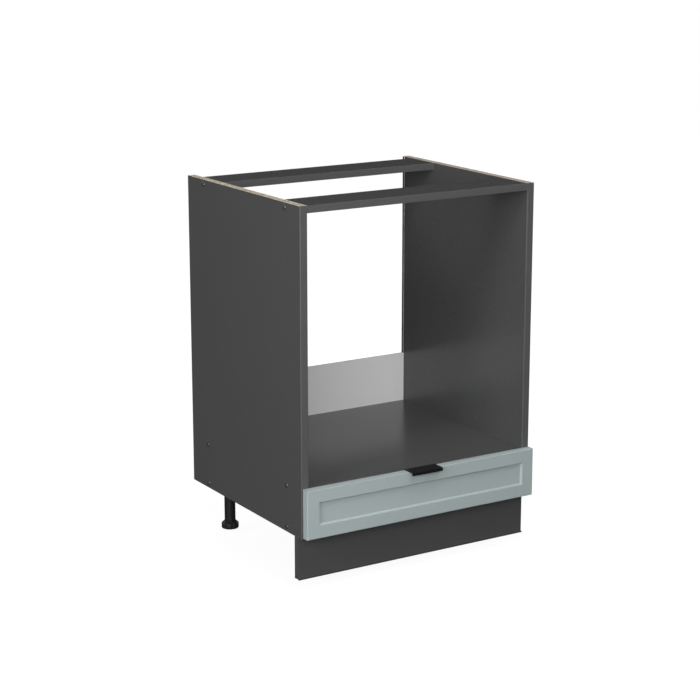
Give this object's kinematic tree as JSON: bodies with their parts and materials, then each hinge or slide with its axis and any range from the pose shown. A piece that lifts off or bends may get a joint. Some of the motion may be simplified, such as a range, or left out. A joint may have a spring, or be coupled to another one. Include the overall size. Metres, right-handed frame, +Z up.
{
  "type": "oven housing cabinet",
  "caption": "Anthracite base cabinet for a built-in oven: open niche with top rails and low back, shallow sage-grey framed drawer with edge pull, plinth and levelling legs.",
  "frame": {"origin": "on the floor, in the middle of the footprint, which runs from the front of the handle to the rear edges of the side panels", "axes": "+Z up, the front faces -Y, +X to the right of someone who faces the back wall"},
  "size_m": [0.606, 0.535, 0.82],
  "materials": {
    "anthracite_board": "matt melamine-faced chipboard, raw chipboard on the top edges",
    "anthracite_edging": "matt plastic edging",
    "light_grey_fibreboard": "smooth lacquered thin fibreboard",
    "zinc_steel": "bright zinc plated",
    "bearing_steel": "polished",
    "anthracite_plastic": "satin plastic",
    "beech": "fluted raw beech",
    "sage_lacquer": "matt sage-grey film on fibreboard",
    "black_metal": "matt black powder coat",
    "black_plastic": "fine-grained black plastic",
    "soft_rubber": "soft, matt"
  },
  "bodies": {
    "carcass": {"left_side_panel": "anthracite_board", "right_side_panel": "anthracite_board", "oven_shelf": "anthracite_board", "bottom_panel": "anthracite_board", "front_top_rail": "anthracite_board", "rear_top_rail": "anthracite_board", "left_side_edging": "anthracite_edging", "right_side_edging": "anthracite_edging", "oven_shelf_edging": "anthracite_edging", "bottom_panel_edging": "anthracite_edging", "front_rail_edging": "anthracite_edging", "rear_rail_edging": "anthracite_edging", "back_panel": "light_grey_fibreboard", "back_panel_screws": "zinc_steel", "carcass_screws": "zinc_steel", "screw_cover_caps": "anthracite_plastic", "carcass_dowels": "beech", "left_runner_cabinet_member": "zinc_steel", "right_runner_cabinet_member": "zinc_steel", "runner_cabinet_screws": "zinc_steel", "leg_screws": "zinc_steel", "front_left_leg_socket": "black_plastic", "front_left_leg_tube": "black_plastic", "front_right_leg_socket": "black_plastic", "front_right_leg_tube": "black_plastic", "rear_left_leg_socket": "black_plastic", "rear_left_leg_tube": "black_plastic", "rear_right_leg_socket": "black_plastic", "rear_right_leg_tube": "black_plastic"},
    "drawer": {"drawer_front": "sage_lacquer", "drawer_handle": "black_metal", "handle_screws": "zinc_steel", "drawer_left_side": "anthracite_board", "drawer_right_side": "anthracite_board", "drawer_inner_front": "anthracite_board", "drawer_back": "anthracite_board", "drawer_bottom": "light_grey_fibreboard", "drawer_box_screws": "zinc_steel", "drawer_front_screws": "zinc_steel", "drawer_bumpers": "soft_rubber", "left_runner_drawer_member": "zinc_steel", "right_runner_drawer_member": "zinc_steel", "runner_drawer_screws": "zinc_steel"},
    "runner_middles": {"left_runner_middle_member": "zinc_steel", "right_runner_middle_member": "zinc_steel"},
    "outer_ball_rows": {"outer_bearing_balls": "bearing_steel", "outer_ball_retainers": "zinc_steel"},
    "inner_ball_rows": {"inner_bearing_balls": "bearing_steel", "inner_ball_retainers": "zinc_steel"},
    "plinth": {"plinth_board": "anthracite_board", "plinth_clips": "black_plastic", "plinth_clip_screws": "zinc_steel", "plinth_seal_strip": "soft_rubber"},
    "foot_front_left": {"front_left_foot": "black_plastic"},
    "foot_front_right": {"front_right_foot": "black_plastic"},
    "foot_rear_left": {"rear_left_foot": "black_plastic"},
    "foot_rear_right": {"rear_right_foot": "black_plastic"}
  },
  "joints": [
    {"name": "drawer_slide", "type": "slide", "parent": "carcass", "child": "drawer", "axis": [0, -1, 0], "range_m": [0, 0.45]},
    {"name": "runner_middle_slide", "type": "slide", "parent": "carcass", "child": "runner_middles", "axis": [0, -1, 0], "range_m": [0, 0.225]},
    {"name": "outer_ball_travel", "type": "slide", "parent": "carcass", "child": "outer_ball_rows", "axis": [0, -1, 0], "range_m": [0, 0.1125]},
    {"name": "inner_ball_travel", "type": "slide", "parent": "carcass", "child": "inner_ball_rows", "axis": [0, -1, 0], "range_m": [0, 0.3375]},
    {"name": "plinth_pull_off", "type": "slide", "parent": "carcass", "child": "plinth", "axis": [0, -1, 0], "range_m": [0, 0.1]},
    {"name": "front_left_foot_adjust", "type": "slide", "parent": "carcass", "child": "foot_front_left", "axis": [0, 0, -1], "range_m": [0, 0.02]},
    {"name": "front_right_foot_adjust", "type": "slide", "parent": "carcass", "child": "foot_front_right", "axis": [0, 0, -1], "range_m": [0, 0.02]},
    {"name": "rear_left_foot_adjust", "type": "slide", "parent": "carcass", "child": "foot_rear_left", "axis": [0, 0, -1], "range_m": [0, 0.02]},
    {"name": "rear_right_foot_adjust", "type": "slide", "parent": "carcass", "child": "foot_rear_right", "axis": [0, 0, -1], "range_m": [0, 0.02]}
  ],
  "couplings": [
    {"joint": "runner_middle_slide", "follows": "drawer_slide", "ratio": 0.5},
    {"joint": "outer_ball_travel", "follows": "drawer_slide", "ratio": 0.25},
    {"joint": "inner_ball_travel", "follows": "drawer_slide", "ratio": 0.75}
  ]
}
